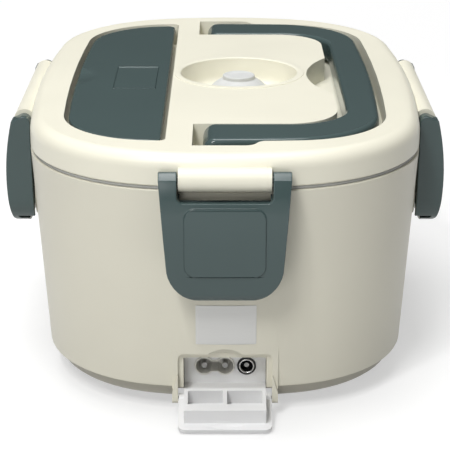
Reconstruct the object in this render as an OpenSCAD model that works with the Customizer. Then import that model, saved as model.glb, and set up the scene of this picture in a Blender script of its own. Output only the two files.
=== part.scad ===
// Electric lunch box: heated case with four latches, a carrying handle in the lid,
// a cutlery compartment and a socket bay with a flap.
// Millimetres, +Z up. Origin: table level under the middle of the case.
// The short front end with the sockets faces -Y.

/* [Case] */
// Width over the bowed long sides
case_w = 172; // [166:1:178]
// Length over the bowed ends
case_l = 256; // [250:1:262]
// Corner radius of the case in plan
corner_r = 64.5; // [62:0.5:67]
// How far the long sides bow outwards
side_bow = 3; // [2.4:0.1:3.6]
// How far the ends bow outwards
end_bow = 2; // [1.5:0.1:2.5]
// Height of the case wall, from its lower edge to its rim
shell_h = 87.5; // [82:0.5:95]
// Lean of the case wall, in degrees from upright
draft = 3.7; // [3:0.1:4.2]
// Thickness of the case wall
wall = 2.4; // [2:0.1:3]

/* [Base] */
// Height of the rubber feet
foot_h = 6; // [6:0.5:8]
// Radius of a rubber foot
foot_r = 7; // [5:0.5:9]
// Height of the base plate's visible band
band_h = 6; // [5.5:0.5:8]
// Step from the case's lower edge in to the base plate
band_step = 4; // [3:0.5:5]

/* [Lid] */
// Height of the lid above the seal
lid_h = 13; // [12.5:0.5:15]
// Height of the seal that shows between lid and case
seal_h = 1.5; // [1:0.1:2]
// Rounding of the lid's top edge, measured across
lid_edge = 6; // [4:0.5:8]
// Width of the rim at each side, from the lid's wall to the recesses
rim_w = 16; // [15:0.5:17]
// Width of the rim at each end, from the lid's wall to the recesses
end_rim = 21; // [20:0.5:22]
// Corner radius of the recesses
pocket_r = 40; // [38:0.5:42]
// Depth of the recesses in the lid
recess_d = 11; // [10.5:0.5:11]
// Thickness of the lid's skin
lid_skin = 2; // [1.6:0.2:2.4]

/* [Compartment] */
// Where the compartment's straight wall stands, left of the middle
tray_edge = 24; // [22:0.5:26]
// Gap all round the compartment's cover
cover_gap = 2; // [1.5:0.1:2.5]
// Thickness of the cover
cover_t = 2.2; // [1.8:0.1:2.6]
// How far the cover's top lies under the lid's top
cover_sink = 0.5; // [0.3:0.1:1]

/* [Vent] */
// Radius of the bowl round the steam valve
bowl_r = 27; // [24:0.5:28]
// Radius of the valve's dome
dome_r = 15.5; // [13:0.5:17]
// Radius of the valve's stem
stem_r = 4.5; // [4:0.5:5.5]

/* [Handle] */
// Width of the grip
grip_w = 15.2; // [14:0.2:15.6]
// Room under the handle, over the channel's floor
handle_room = 1; // [0.8:0.1:1.5]
// How far the handle's top stands above the lid's top
handle_rise = 0.5; // [0:0.1:0.8]
// Gap between the grip and its channel's outer wall
handle_gap = 3; // [2.5:0.1:3.6]
// Gap at each side of the handle's arms
arm_gap = 0.6; // [0.4:0.1:1]
// Radius of the handle's pivot pins
handle_pin_r = 2; // [1.6:0.1:2.4]

/* [Latches] */
// Width of the barrels of the front and rear latches
end_barrel_w = 36.4; // [32:0.4:44]
// Width of the barrels of the side latches
side_barrel_w = 89; // [80:1:96]
// Width of a latch's ear
ear_w = 7.5; // [6:0.5:9]
// Radius of a barrel
barrel_r = 4.7; // [4.4:0.1:5]
// Radius of a latch's hinge pin
latch_pin_r = 1.5; // [1.2:0.1:1.8]
// Length of a latch below its hinge
latch_drop = 49.4; // [44:0.2:54]
// Radius of a latch's lower corners
latch_corner_r = 16; // [12:1:18]
// Thickness of a latch's plate
latch_t = 2.6; // [2.2:0.1:3]

/* [Socket bay] */
// Width of the bay's mouth
bay_w = 38.8; // [38:0.2:42]
// Height of the bay's mouth above the case's lower edge
bay_h = 15.8; // [15.4:0.1:16]
// Pin spacing of the mains inlet
pin_pitch = 8.6; // [8.6:0.1:8.8]
// Radius of a mains pin
pin_r = 1.18; // [1.15:0.01:1.25]
// Radius of the low-voltage jack's body
jack_r = 3.9; // [3.7:0.1:4.1]
// Radius of the low-voltage jack's centre pin
jack_pin_r = 1.0; // [0.9:0.05:1.2]
// How far the open flap has turned down from shut, in degrees
flap_open = 108; // [90:1:108]

/* [Containers] */
// Length of the main container
main_l = 135; // [120:1:140]
// Thickness of the steel containers and the heating basin
steel_t = 1; // [0.8:0.1:1.4]
// Gap between the two containers
tub_gap = 4; // [3:0.5:6]

/* [Hidden] */
$fn = 64;

cream = "#ece8d2";
slate = "#53615f";
pale = "#e2e4e2";
steel = "#b9bcbe";
dark = "#2b2b2d";
rubber = "#4a4a48";

// Clearances: a pin that turns in its bore, a pin pressed in its seat, and pieces side by side
run = 0.05;
press = 0.02;
seat = 0.3;

// Heights
z_base = foot_h;
z_case = z_base + band_h;
z_rim = z_case + shell_h;
z_lid = z_rim + seal_h;
z_top = z_lid + lid_h;
z_floor = z_top - recess_d;
slope = tan(draft);

// Plan outline: circle centres and angles of its side, corner and end arcs
half_w = case_w / 2;
half_l = case_l / 2;
cx = half_w - corner_r - side_bow;
cy = half_l - corner_r - end_bow;
side_r = corner_r + side_bow / 2 + cy * cy / (2 * side_bow);
end_r = corner_r + end_bow / 2 + cx * cx / (2 * end_bow);
side_a = asin(cy / (side_r - corner_r));
end_a = asin(cx / (end_r - corner_r));
side_n = 3;
corner_n = 14;
end_n = 3;

function arc(c, r, a0, a1, n, first = 0) =
    [for (k = [first:n]) let (a = a0 + (a1 - a0) * k / n) c + r * [cos(a), sin(a)]];
function rev(list) = [for (k = [len(list) - 1:-1:0]) list[k]];
function tail(list) = [for (k = [1:len(list) - 1]) list[k]];
function flip(list, x, y) = [for (p = list) [p[0] * x, p[1] * y]];
function at_z(loop, z) = [for (p = loop) [p[0], p[1], z]];

// One quarter of the plan outline, set in by i, from the +X axis round to the +Y axis
function quarter(i) = concat(
    arc([half_w - side_r, 0], side_r - i, 0, side_a, side_n),
    arc([cx, cy], corner_r - i, side_a, 90 - end_a, corner_n, 1),
    arc([0, half_l - end_r], end_r - i, 90 - end_a, 90, end_n, 1));

// Outline of the recesses in the lid, with bows of its own
pocket_w = half_w - rim_w;
pocket_l = half_l - end_rim;
pocket_bow = 1.8;
pocket_end_bow = 0.9;
px = pocket_w - pocket_r - pocket_bow;
py = pocket_l - pocket_r - pocket_end_bow;
pocket_side_r = pocket_r + pocket_bow / 2 + py * py / (2 * pocket_bow);
pocket_end_r = pocket_r + pocket_end_bow / 2 + px * px / (2 * pocket_end_bow);
pocket_side_a = asin(py / (pocket_side_r - pocket_r));
pocket_end_a = asin(px / (pocket_end_r - pocket_r));
function pocket_quarter(i) = concat(
    arc([pocket_w - pocket_side_r, 0], pocket_side_r - i, 0, pocket_side_a, side_n),
    arc([px, py], pocket_r - i, pocket_side_a, 90 - pocket_end_a, corner_n, 1),
    arc([0, pocket_l - pocket_end_r], pocket_end_r - i, 90 - pocket_end_a, 90, end_n, 1));

// The whole plan outline, set in by i, anticlockwise from +X
function round_trip(q) = concat(
    q, tail(rev(flip(q, -1, 1))), tail(flip(q, -1, -1)),
    [for (k = [len(q) - 2:-1:1]) [q[k][0], -q[k][1]]]);
function plan(i) = round_trip(quarter(i));

// The recesses' left part, set in by i, cut off straight at x = -edge with corners of radius rc
function cut_pocket(i, edge, rc = 3) = let (
    r = pocket_end_r,
    yc = pocket_l - r + sqrt(pow(r - i - rc, 2) - pow(edge + rc, 2)),
    t = atan2(yc - pocket_l + r, -edge - rc),
    half = concat(
        arc([-edge - rc, yc], rc, 0, t, 4),
        arc([0, pocket_l - r], r - i, t, 90 + pocket_end_a, end_n, 1),
        arc([-px, py], pocket_r - i, 90 + pocket_end_a, 180 - pocket_side_a, corner_n, 1),
        arc([pocket_side_r - pocket_w, 0], pocket_side_r - i, 180 - pocket_side_a, 180, side_n, 1)))
    concat(half, tail(rev(flip(half, 1, -1))));

// A tub's outline: half width hw, from y0 to y1, corner radii r0 at y0 and r1 at y1, set in by i
function tub(hw, y0, y1, r0, r1, i) = concat(
    arc([hw - r0, y0 + r0], r0 - i, -90, 0, 9), arc([hw - r1, y1 - r1], r1 - i, 0, 90, 9),
    arc([r1 - hw, y1 - r1], r1 - i, 90, 180, 9), arc([r0 - hw, y0 + r0], r0 - i, 180, 270, 9));

// A solid skinned over closed sections with equal counts of points
module skin(sections) {
    n = len(sections[0]);
    m = len(sections);
    polyhedron(
        points = [for (s = sections, p = s) p],
        faces = concat(
            [[for (k = [0:n - 1]) k]],
            [for (j = [0:m - 2], k = [0:n - 1]) let (a = j * n + k, b = j * n + (k + 1) % n)
                [a, a + n, b + n]],
            [for (j = [0:m - 2], k = [0:n - 1]) let (a = j * n + k, b = j * n + (k + 1) % n)
                [a, b + n, b]],
            [[for (k = [n - 1:-1:0]) (m - 1) * n + k]]),
        convexity = 6);
}

// Plan outlines stacked by [inset, height]
module stack(levels) {
    skin([for (v = levels) at_z(plan(v[0]), v[1])]);
}

module slab(z0, z1) {
    translate([0, 0, z0]) linear_extrude(z1 - z0) children();
}

// How far the case wall has leant in at height z
function lean(z) = (z_rim - z) * slope;

// ---- Latch places: x along the hinge, -y outwards, z up from the hinge axis ----
axis_out = 1.8;
axis_drop = 8.8;
z_axis = z_top - axis_drop;
SIDES = ["front", "right", "rear", "left"];
function is_end(side) = side == "front" || side == "rear";
function barrel_w(side) = is_end(side) ? end_barrel_w : side_barrel_w;
slot_gap = 0.5;
function latch_hw(side) = barrel_w(side) / 2 + slot_gap + ear_w;
// Inner edge of the cheeks, out from the axis: just clear of the rim where the cheek starts
function cheek_in(side) = let (s = barrel_w(side) / 2, r = is_end(side) ? end_r : side_r)
    sqrt(r * r - s * s) - r - axis_out + seat;

module at_latch(side) {
    turn = side == "front" ? 0 : side == "right" ? 90 : side == "rear" ? 180 : 270;
    reach = is_end(side) ? half_l : half_w;
    rotate([0, 0, turn]) translate([0, -reach - axis_out, z_axis]) children();
}

latch_taper = 3;
latch_head = 3.1;
head_clear = 0.55;

// A latch seen from outside, set in by i
module latch_face(side, i = 0) {
    hw = latch_hw(side);
    r = latch_corner_r;
    low = concat(arc([hw - latch_taper - r, r - latch_drop], r - i, 0, -90, 10),
                 arc([r + latch_taper - hw, r - latch_drop], r - i, -90, -180, 10));
    polygon(concat([[hw - i, latch_head + 1]], low, [[i - hw, latch_head + 1]]));
}

// Catch: the ridge on the case and the lip on the latch, down from the axis
catch_top = 28;
catch_bottom = 31;
catch_out = 1.2;
catch_gap = 0.4;
catch_clear = 0.2;
pad_in = 3;

// ---- Case ----
floor_in = 14;
ledge_z = z_rim - 1.2;
ledge_in = 7.5;
ledge_t = 2.5;
screw_x = half_w - 33;
screw_mid_x = half_w - 17;
screw_y = half_l - 36;
screw_spots = [for (x = [-1, 1], y = [-1, 0, 1]) [x * (y == 0 ? screw_mid_x : screw_x), y * screw_y]];
screw_r = 1.5;
boss_r = 4;
boss_h = 9;

// Socket bay, from the case wall at the front
bay_z = z_case + bay_h;
wall_y = lean(z_case + bay_h / 2) - half_l;
bay_lip = 2.4;
bay_frame = 2.3;
bay_in = bay_w / 2 - bay_frame;
bay_in_z = bay_z - 2.4;
panel_y = wall_y + 11.5;
panel_t = 2;
flap_t = 2;
flap_y = wall_y + 1.2;
flap_z = z_base + 1.5;
flap_pin_r = 1;
knuckle_r = 1.9;
leg_t = 2.4;
socket_z = z_case + 5.6;

module screw_posts() {
    for (p = screw_spots) translate([p[0], p[1], z_case]) children();
}

module bay_mouth(hw, top, r) {
    union() {
        translate([-hw, 0]) square([2 * hw, top - r]);
        translate([r - hw, 0]) square([2 * (hw - r), top]);
        for (x = [-1, 1]) translate([x * (hw - r), top - r]) circle(r);
    }
}

// A shape drawn in x and z, extruded from y0 to y1
module facing_front(y0, y1) {
    translate([0, y1, 0]) rotate([90, 0, 0]) linear_extrude(y1 - y0) children();
}

module wall_shape() {
    difference() {
        union() {
            stack([[lean(z_case) + 1.2, z_case], [lean(z_case) + 0.35, z_case + 0.35],
                   [lean(z_case + 1.2), z_case + 1.2], [0, z_rim - 0.4], [0.4, z_rim]]);
            intersection() {
                slab(z_axis - latch_drop, z_rim - 0.6) polygon(plan(0));
                for (side = SIDES) at_latch(side)
                    rotate([90, 0, 0]) translate([0, 0, -30]) linear_extrude(34) latch_face(side, pad_in);
            }
            intersection() {
                stack([[-catch_out, z_axis - catch_bottom],
                       [-catch_out, z_axis - catch_bottom + 1.2], [0, z_axis - catch_top]]);
                for (side = SIDES) at_latch(side)
                    translate([1 - barrel_w(side) / 2, -5, -catch_bottom - 1])
                        cube([barrel_w(side) - 2, 30, catch_bottom - catch_top + 2]);
            }
        }
        stack([[lean(z_case) + wall, z_case - 1], [wall, z_rim + 1]]);
    }
}

module outer_shell() {
    thumb_h = 2.6;
    thumb_w = 7.8;
    thumb_r = (thumb_w * thumb_w + thumb_h * thumb_h) / (2 * thumb_h);
    thumb_out = 11.5;
    color(cream) difference() {
        union() {
            wall_shape();
            slab(z_case, z_case + wall) difference() {
                polygon(plan(lean(z_case) + wall - 0.5));
                polygon(plan(lean(z_case) + wall + floor_in));
            }
            slab(ledge_z - ledge_t, ledge_z) difference() {
                polygon(plan(wall - 0.5));
                polygon(plan(ledge_in));
            }
            screw_posts() cylinder(r = boss_r, h = boss_h);
            facing_front(wall_y + 0.8, panel_y + panel_t)
                translate([-bay_w / 2 - leg_t, z_case]) square([bay_w + 2 * leg_t, bay_h + 3.4]);
            for (side = [-1, 1]) bay_leg(side);
        }
        facing_front(wall_y - 8, wall_y + bay_lip) bay_mouth(bay_w / 2, bay_z, 3);
        facing_front(wall_y, panel_y + 40) bay_mouth(bay_in, bay_in_z, 0.2);
        intersection() {
            translate([0, lean(bay_z + 1) - half_l - thumb_out, bay_z + thumb_h - thumb_r])
                sphere(sqrt(thumb_r * thumb_r + thumb_out * thumb_out), $fn = 128);
            translate([-20, -case_l, bay_z - 0.01]) cube([40, case_l, 10]);
        }
        translate([-bay_w, flap_y, flap_z]) rotate([0, 90, 0])
            cylinder(r = flap_pin_r + press, h = 2 * bay_w, $fn = 24);
        screw_posts() translate([0, 0, -1]) cylinder(r = screw_r - 0.25, h = boss_h, $fn = 24);
    }
}

// A leg beside the bay, flared outwards as it comes down, with a rounded foot
module bay_leg(side) {
    x = bay_w / 2;
    intersection() {
        translate([side * (x + leg_t / 2) - leg_t / 2, 0, 0])
            rotate([90, 0, 90]) linear_extrude(leg_t) union() {
            translate([flap_y - knuckle_r, flap_z]) square([2 * knuckle_r, z_case + 6 - flap_z]);
            translate([flap_y, flap_z]) circle(knuckle_r);
        }
        facing_front(flap_y - 5, flap_y + 5)
            polygon(flip([[x, 0], [x + leg_t, 0], [x + leg_t, z_case - 1.5],
                          [x + 0.3, z_case + 6], [x, z_case + 6]], side, 1));
    }
}

// ---- Base ----
band_top = lean(z_case) + band_step;
base_t = 2.4;
foot_x = half_w - 36;
foot_y = half_l - 58;
foot_spots = [for (x = [-1, 1], y = [-1, 1]) [x * foot_x, y * foot_y]];
foot_sunk = 1;
head_r = 2.9;
head_h = 1.8;
board = [60, 38, 1.6];
board_y = 66 - half_l;
board_z = z_case + 1.5;

module base_plate() {
    notch_w = bay_w + 0.8;
    color("#b5b2a4") difference() {
        union() {
            difference() {
                stack([[band_top + 2, z_base], [band_top + 0.8, z_base + 1], [band_top, z_case]]);
                stack([[band_top + 4, z_base + base_t], [band_top + 2, z_case + 1]]);
            }
            for (p = screw_spots) translate([p[0], p[1], z_base]) cylinder(r = boss_r, h = band_h);
            for (p = foot_spots) translate([p[0], p[1], z_base + 1]) cylinder(r = foot_r + 2, h = 2.4);
            for (x = [-1, 1], y = [-1, 1])
                translate([x * (board[0] / 2 - 4), board_y + y * (board[1] / 2 - 4), z_base + 1])
                    cylinder(r = 2.5, h = board_z - z_base - 1, $fn = 32);
            translate([-notch_w / 2 - 2, panel_y + panel_t + 0.6, z_base + 1])
                cube([notch_w + 4, 2, band_h - 1]);
        }
        translate([-notch_w / 2, -half_l, z_base - 1])
            cube([notch_w, half_l + panel_y + panel_t + 0.6, band_h + 2]);
        for (p = screw_spots) translate([p[0], p[1], z_base - 1]) {
            cylinder(r = screw_r + 0.25, h = band_h + 2, $fn = 32);
            cylinder(r = head_r + 0.3, h = 1 + head_h + 0.4, $fn = 32);
        }
        for (p = foot_spots) translate([p[0], p[1], z_base - 1]) cylinder(r = foot_r, h = 1 + foot_sunk);
    }
}

module feet() {
    color(rubber) for (p = foot_spots) translate([p[0], p[1], 0]) rotate_extrude()
        polygon(concat([[0, 0]], arc([foot_r - 2, 1], 1, -90, 0, 4),
                       [[foot_r, foot_h + foot_sunk], [0, foot_h + foot_sunk]]));
}

module base_screws() {
    color(steel) for (p = screw_spots) translate([p[0], p[1], z_base + 0.4]) difference() {
        union() {
            cylinder(r = head_r, h = head_h, $fn = 32);
            cylinder(r = screw_r - 0.25 - press, h = band_h + 6, $fn = 24);
        }
        for (a = [0, 90]) rotate([0, 0, a]) translate([-1.6, -0.35, -1]) cube([3.2, 0.7, 1.8]);
    }
}

// ---- Heating basin and what heats it ----
basin_in = 9.6;
basin_z = z_case + 25.5;
flange_t = 1;
heater = [96, 46, 5];
stud_x = heater[0] / 2 + 8;
stud_r = 2;
stud_h = 9;

function basin_levels(t) = [
    [basin_in + lean(basin_z) + 3 + 0.4 * t, basin_z + t],
    [basin_in + lean(basin_z) + 0.9 + 0.7 * t, basin_z + 0.9 + t * 0.7],
    [basin_in + lean(basin_z + 3) + t, basin_z + 3],
    [basin_in + t, ledge_z + flange_t + t]];

module heating_basin() {
    color(steel) union() {
        difference() {
            union() {
                intersection() {
                    stack(basin_levels(0));
                    slab(basin_z - 1, ledge_z + flange_t) square(2 * case_l, center = true);
                }
                slab(ledge_z, ledge_z + flange_t) polygon(plan(wall + seat));
            }
            stack(basin_levels(steel_t));
        }
        for (x = [-1, 1]) translate([x * stud_x, 0, basin_z - stud_h])
            cylinder(r = stud_r, h = stud_h + steel_t / 2, $fn = 32);
    }
}

clamp_t = 1.5;

module heater_block() {
    color("#c9cbcc") difference() {
        translate([-heater[0] / 2, -heater[1] / 2, basin_z - heater[2]]) cube(heater);
        for (y = [-1, 1]) translate([-heater[0], y * heater[1] / 4, basin_z - heater[2] / 2])
            rotate([0, 90, 0]) cylinder(r = 1.4, h = 2 * heater[0], $fn = 24);
    }
}

// The clamp: a sprung strap under the heater that steps up to the studs
module heater_clamp() {
    low = basin_z - heater[2] - clamp_t;
    color(steel) difference() {
        rotate([90, 0, 0]) linear_extrude(16, center = true) union() {
            translate([-stud_x - 7, low]) square([2 * stud_x + 14, clamp_t]);
            for (x = [-1, 1]) translate([x * (stud_x - 5) - 0.6, low]) square([1.2, 3.2]);
        }
        for (x = [-1, 1]) translate([x * stud_x, 0, low - 1]) cylinder(r = stud_r + 0.2, h = 5, $fn = 32);
    }
}

module clamp_nuts() {
    color(steel) for (x = [-1, 1]) translate([x * stud_x, 0, basin_z - heater[2] - clamp_t - 2.4])
        difference() {
            cylinder(r = 3.6, h = 2.4, $fn = 6);
            translate([0, 0, -1]) cylinder(r = stud_r + run, h = 5, $fn = 32);
        }
}

module thermostat() {
    color(dark) translate([0, heater[1] / 2 + 12, basin_z]) {
        translate([0, 0, -4]) cylinder(r = 8, h = 4);
        translate([0, 0, -9]) cylinder(r = 6, h = 5.2);
        for (x = [-1, 1]) translate([x * 7 - 2.4, -0.4, -8]) cube([4.8, 0.8, 2]);
    }
}

module thermal_fuse() {
    color("#d8cfae") translate([0, -heater[1] / 2 - 6, basin_z - 2.2]) rotate([0, 90, 0]) {
        cylinder(r = 2.2, h = 14, center = true, $fn = 32);
        cylinder(r = 0.5, h = 40, center = true, $fn = 16);
    }
}

module power_board() {
    color("#2f6b45") translate([-board[0] / 2, board_y - board[1] / 2, board_z]) cube(board);
}

module board_parts() {
    top = board_z + board[2];
    color(dark) {
        translate([-26, board_y - 12, top]) cube([19, 15, 11]);
        translate([6, board_y - 8, top]) cube([16, 10, 9]);
        translate([-12, board_y + 12, top]) cylinder(r = 4, h = 9, $fn = 32);
        translate([2, board_y + 12, top]) cylinder(r = 4, h = 9, $fn = 32);
        translate([16, board_y + 11, top]) rotate([0, 90, 0]) translate([-2, 0, 0])
            cylinder(r = 2, h = 9, $fn = 24);
    }
}

// ---- Socket bay ----
shelf_z = z_base + 2.4;
shelf_t = 1.4;
ac_x = [-pin_pitch, 0];
ac_pocket_r = 3.5;
ac_shroud_r = 4.1;
jack_x = 9;
sock_y = panel_y - 0.6;
sock_back = panel_y + 13;
pin_step = 0.2;

// Two round lobes joined by a bridge, in x and z about the mains pins
module lobes(r) {
    for (x = ac_x) translate([x, socket_z]) circle(r, $fn = 48);
    translate([ac_x[0], socket_z - 0.62 * r]) square([pin_pitch, 1.24 * r]);
}

module socket_panel() {
    hw = bay_in - 0.1;
    color(pale) difference() {
        union() {
            facing_front(panel_y, panel_y + panel_t)
                translate([-hw, shelf_z]) square([2 * hw, bay_in_z - 0.1 - shelf_z]);
            facing_front(panel_y + panel_t, panel_y + panel_t + 1.6)
                translate([-hw - 3, z_case + wall + 0.3])
                    square([2 * hw + 6, bay_in_z + 3 - z_case - wall - 0.3]);
            translate([-hw, wall_y + 5.3, shelf_z]) cube([2 * hw, panel_y - wall_y - 5, shelf_t]);
            for (x = [-7.4, 7.8]) translate([x - 1.65, wall_y + 4, shelf_z]) cube([3.3, 2, shelf_t]);
        }
        facing_front(panel_y - 1, panel_y + panel_t + 2) {
            lobes(ac_shroud_r + 0.05);
            translate([jack_x, socket_z]) circle(jack_r + 0.05);
        }
    }
}

module ac_inlet() {
    color(dark) difference() {
        union() {
            facing_front(sock_y, sock_back) lobes(ac_shroud_r);
            facing_front(panel_y + panel_t + 1.6, sock_back - 3) translate([ac_x[0] - 5, socket_z - 5])
                square([pin_pitch + 9, 10]);
        }
        facing_front(sock_y - 1, sock_y + 9.6) lobes(ac_pocket_r);
        facing_front(sock_y, sock_back + 1) for (x = ac_x)
            translate([x, socket_z]) circle(pin_r - pin_step + press, $fn = 32);
    }
}

module ac_pins() {
    color(steel) for (x = ac_x) {
        facing_front(sock_y + 1, sock_y + 9.6) translate([x, socket_z]) circle(pin_r, $fn = 32);
        facing_front(sock_y + 9.6, sock_back + 4)
            translate([x, socket_z]) circle(pin_r - pin_step, $fn = 32);
    }
}

module dc_jack() {
    color(dark) difference() {
        facing_front(sock_y, sock_back - 2) translate([jack_x, socket_z]) circle(jack_r);
        facing_front(sock_y - 1, sock_y + 9) translate([jack_x, socket_z]) circle(jack_r - 0.8);
        facing_front(sock_y, sock_back)
            translate([jack_x, socket_z]) circle(jack_pin_r - pin_step + press, $fn = 32);
    }
}

module jack_contact() {
    color(steel) {
        facing_front(sock_y + 1.2, sock_y + 9)
            translate([jack_x, socket_z]) circle(jack_pin_r, $fn = 32);
        facing_front(sock_y + 9, sock_back + 2)
            translate([jack_x, socket_z]) circle(jack_pin_r - pin_step, $fn = 32);
    }
}

// The flap, drawn shut and then swung open about its pin
module port_flap() {
    hw = bay_w / 2 - 0.3;
    top = bay_z - flap_z - 0.8;
    plug_hw = bay_in - 0.4;
    plug_top = bay_in_z - flap_z - 2.2;
    plug_d = 8.2;
    nail_r = 2.1;
    nail_up = 1.25;
    color(pale) translate([0, flap_y, flap_z]) rotate([flap_open, 0, 0]) difference() {
        union() {
            facing_front(-flap_t / 2, flap_t / 2) union() {
                translate([-hw, -flap_t]) square([2 * hw, top - 3 + flap_t]);
                translate([3 - hw, 0]) square([2 * hw - 6, top]);
                for (x = [-1, 1]) translate([x * (hw - 3), top - 3]) circle(3);
            }
            rotate([0, 90, 0]) cylinder(r = knuckle_r, h = 2 * hw - 0.2, center = true, $fn = 32);
            difference() {
                facing_front(0, plug_d) translate([-plug_hw, 2.7]) square([2 * plug_hw, plug_top - 2.7]);
                for (x = [-1, 1]) facing_front(flap_t / 2, plug_d + 1)
                    translate([x * (plug_hw / 2 - 0.4) - plug_hw / 2 + 1.2, 4.1])
                        square([plug_hw - 2.4, plug_top - 7.9]);
            }
        }
        translate([0, flap_t / 2 + nail_up, (plug_top + top) / 2]) rotate([0, 90, 0])
            rotate_extrude($fn = 32) polygon(concat([[0, -8.4]],
                [for (k = [-5:5]) [nail_r - (nail_r - nail_up) * k * k / 25, 1.68 * k]], [[0, 8.4]]));
        rotate([0, 90, 0]) cylinder(r = flap_pin_r + run, h = 3 * hw, center = true, $fn = 32);
    }
}

module flap_pin() {
    color(steel) translate([0, flap_y, flap_z]) rotate([0, 90, 0])
        cylinder(r = flap_pin_r, h = bay_w + 2 * leg_t - 0.2, center = true, $fn = 32);
}

// ---- Containers ----
tub_hw = half_w - side_bow - 15;
tub_y0 = 18 - half_l;
tub_r = corner_r - 15;
tub_y1 = tub_y0 + main_l;
side_y0 = tub_y1 + tub_gap;
side_y1 = half_l - 18;
tub_z = basin_z + steel_t;
main_rim = ledge_z - 4.3;
side_rim = main_rim - 2.5;

// A round-cornered tub: levels are [inset, height]
module tub_stack(y0, y1, r0, r1, levels) {
    skin([for (v = levels) at_z(tub(tub_hw, y0, y1, r0, r1, v[0]), v[1])]);
}

module main_container() {
    color("#c6c9cb") difference() {
        union() {
            tub_stack(tub_y0, tub_y1, tub_r, 14, [[6, tub_z], [2.6, tub_z + 1], [1.5, tub_z + 4],
                                               [0, main_rim]]);
            tub_stack(tub_y0, tub_y1, tub_r, 14, [[-1.2, main_rim - 1], [-1.6, main_rim - 0.6],
                                               [-1.6, main_rim + 0.1], [-1.2, main_rim + 0.5]]);
        }
        tub_stack(tub_y0, tub_y1, tub_r, 14, [[6.6, tub_z + 0.8], [3.4, tub_z + 1.7], [2.3, tub_z + 4.4],
                                           [0.8, main_rim + 1]]);
    }
}

module side_container() {
    color("#f1f1ee") difference() {
        union() {
            tub_stack(side_y0, side_y1, 14, tub_r, [[6, tub_z], [2.8, tub_z + 1], [1.8, tub_z + 4],
                                                 [0.6, side_rim]]);
            tub_stack(side_y0, side_y1, 14, tub_r, [[0.2, side_rim - 2.4], [0.2, side_rim]]);
        }
        tub_stack(side_y0, side_y1, 14, tub_r, [[7, tub_z + 1.4], [4.4, tub_z + 2.4], [3.4, tub_z + 5],
                                             [2.2, side_rim + 1]]);
    }
}

module side_container_lid() {
    color("#dfe5e4") difference() {
        tub_stack(side_y0, side_y1, 14, tub_r, [[-1.4, side_rim - 2.6], [-1.4, side_rim + 1.2],
                                             [-0.6, side_rim + 2]]);
        tub_stack(side_y0, side_y1, 14, tub_r, [[0, side_rim - 4], [0, side_rim]]);
        tub_stack(side_y0, side_y1, 14, tub_r, [[6, side_rim + 1.4], [6, side_rim + 3]]);
    }
}

// ---- Lid ----
bar_x = -13.2;
notch_y = pocket_l + 6;
notch_x = 8;
notch_turn = 70;
notch_d = 6.5;
notch_r = notch_d / (2 * (1 - cos(notch_turn)));
island_x = pocket_w - 22;
island_y = pocket_l - 25;
island_r = 22;
scoop_r = 57.6;
bowl = [6.4, 4.4];
handle_t = recess_d - handle_room + handle_rise;
pivot_x = -3.7;
pivot_z = z_top + handle_rise - handle_t / 2;
cover_top = z_top - cover_sink;
hinge_x = -tray_edge - cover_gap - 2;
hinge_r = 1.8;
hinge_z = cover_top - hinge_r;
cover_pin_r = 0.9;
stem_hole = stem_r + 0.3;

// The S-shaped right end of the handle's rear notch, let out by g
function notch_end(g) = let (a = notch_turn, r = notch_r, l = 2 * notch_r * sin(notch_turn)) concat(
    arc([notch_x, notch_y - r], r + g, 90, 90 - a, 5),
    arc([notch_x + l, notch_y - notch_d + r], r - g, 270 - a, 270, 5));

// The sunk parts of the lid's top, let out by g
module sunk(g = 0) {
    polygon(cut_pocket(-g, tray_edge - g));
    difference() {
        union() {
            intersection() {
                polygon(round_trip(pocket_quarter(-g)));
                translate([bar_x - g, -case_l]) square(2 * case_l);
            }
            polygon(concat([[bar_x - g, -notch_y - g]], flip(notch_end(g), 1, -1),
                           rev(notch_end(g)), [[bar_x - g, notch_y + g]]));
        }
        difference() {
            island(g);
            translate([pocket_w + 25.2, -1]) circle(scoop_r + g, $fn = 128);
        }
    }
}

module island(g) {
    r = island_r - g;
    polygon(concat([[bar_x - 6, g - island_y]],
        arc([island_x - island_r, island_r - island_y], r, -90, 0, 10),
        arc([island_x - island_r, island_y - island_r], r, 0, 90, 10),
        [[bar_x - 6, island_y - g]]));
}

module lid_body() {
    steps = 6;
    stack(concat([[0.6, z_lid], [0, z_lid + 0.6], [0, z_top - lid_edge]],
        [for (k = [1:steps]) let (a = 90 * k / steps)
            [lid_edge * (1 - cos(a)), z_top - lid_edge * (1 - sin(a))]]));
}

module lid_hollow() {
    slab(z_lid - 1, z_top - lid_skin - 0.6) difference() {
        polygon(plan(3.2));
        sunk(2);
        translate(bowl) circle(bowl_r + 2.4);
        for (y = [-1, 1]) {
            translate([-28, y * (half_l - 4) - 4]) square([56, 8]);
            translate([pivot_x - 6, y * (island_y - 3) - 3]) square([12, 6]);
            translate([pivot_x - 6, y * (notch_y + 2) - 3]) square([12, 6]);
            translate([hinge_x - 5, y * (pocket_l + 1) - 5]) square([10, 10]);
        }
        for (x = [-1, 1]) translate([x * (half_w - 4) - 4, -54]) square([8, 108]);
    }
}

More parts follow.
